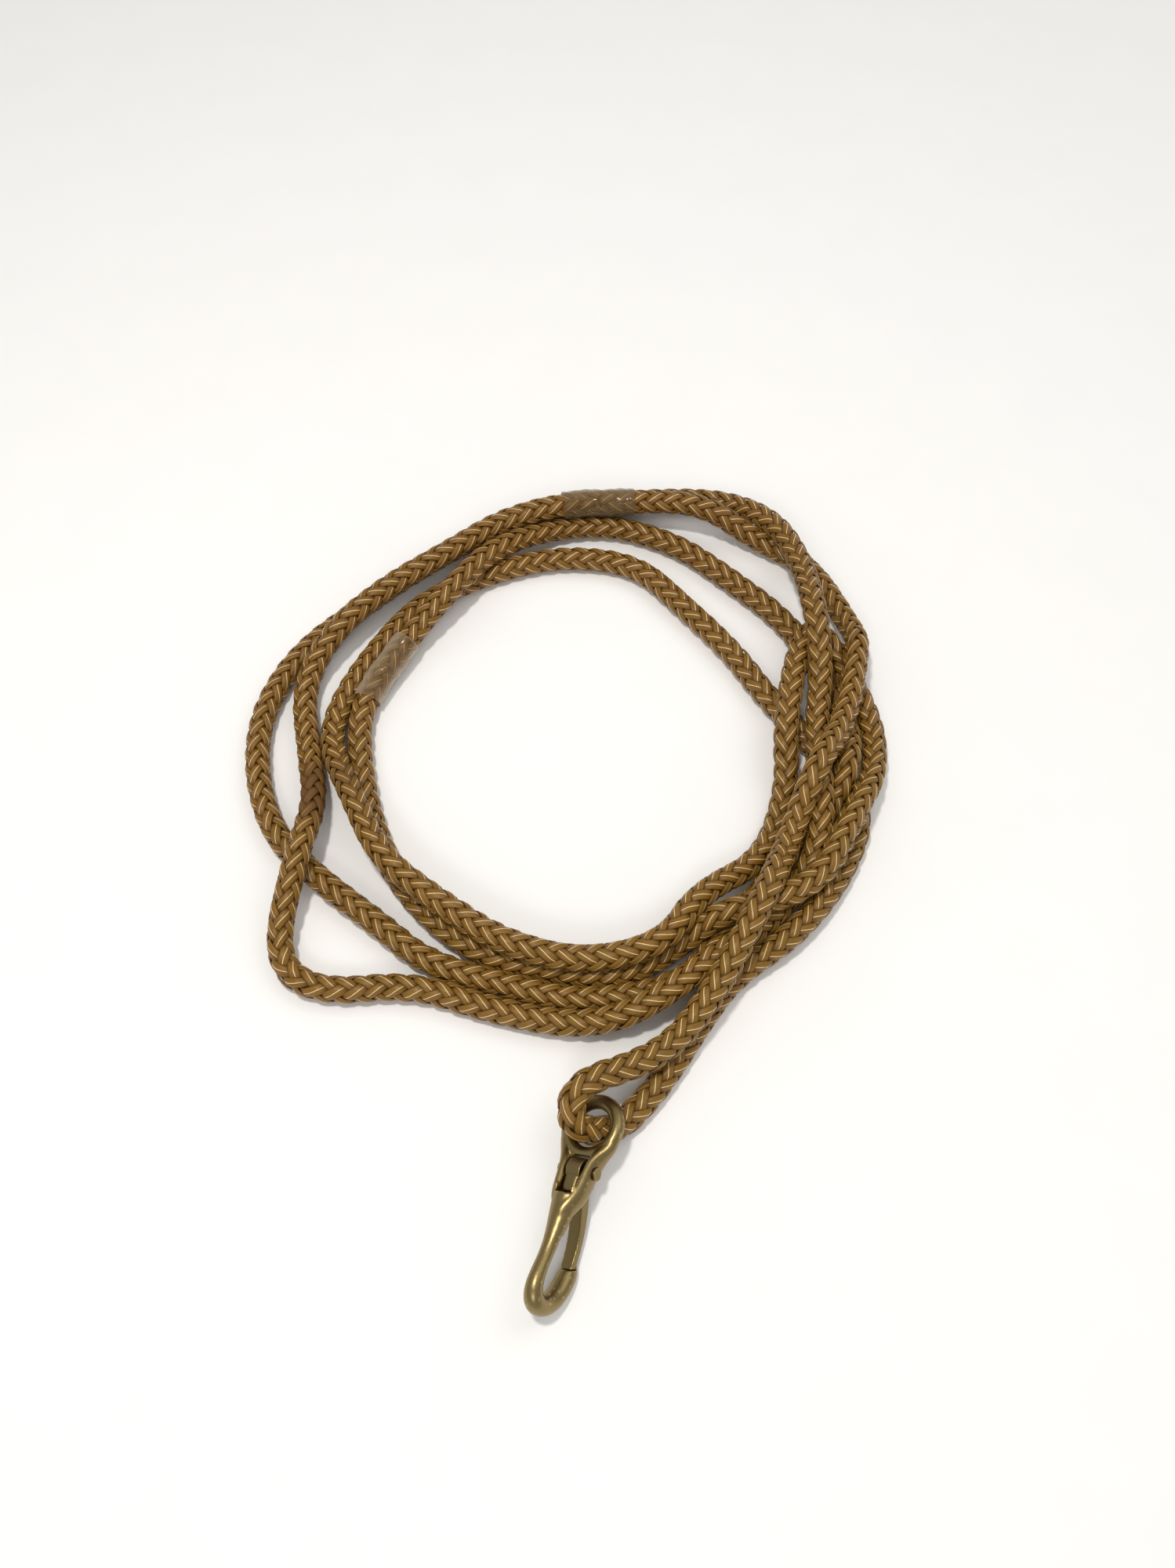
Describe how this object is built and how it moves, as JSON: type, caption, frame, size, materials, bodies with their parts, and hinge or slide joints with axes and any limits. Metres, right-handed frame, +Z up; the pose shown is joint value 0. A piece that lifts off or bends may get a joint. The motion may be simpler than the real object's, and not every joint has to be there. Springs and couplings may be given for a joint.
{
  "type": "lanyard",
  "caption": "Long loop of thick round braided cord, loosely wound, joined under clear sleeves, with a cast snap hook whose sprung gate opens inward",
  "frame": {"origin": "bottom centre of the snap hook's own box, on the table that the lanyard lies on", "axes": "+Y along the snap hook from its bend to its eye, +Z up from the table, +X to the right of the hook seen from its bend"},
  "size_m": [0.1491, 0.2077, 0.0153],
  "materials": {
    "cast_brass": "worn cast",
    "gate_brass": "worn",
    "spring_steel": "drawn wire",
    "cord": "glossy braid",
    "clear_sleeve": "clear, shrunk on"
  },
  "bodies": {
    "lanyard": {"snap_body": "cast_brass", "gate_pin": "gate_brass", "cord_coil": "cord", "cord_tails": "cord", "sleeve_top": "clear_sleeve", "sleeve_side": "clear_sleeve"},
    "gate": {"gate": "gate_brass", "gate_spring": "spring_steel"}
  },
  "joints": [
    {"name": "gate_hinge", "type": "hinge", "parent": "lanyard", "child": "gate", "pos_m": [0.00005, 0.00579, 0.00747], "axis": [-0.866, 0, -0.5], "range_deg": [0, 19], "stiffness_Nm_per_rad": 0.05, "springref_deg": -9.74}
  ]
}
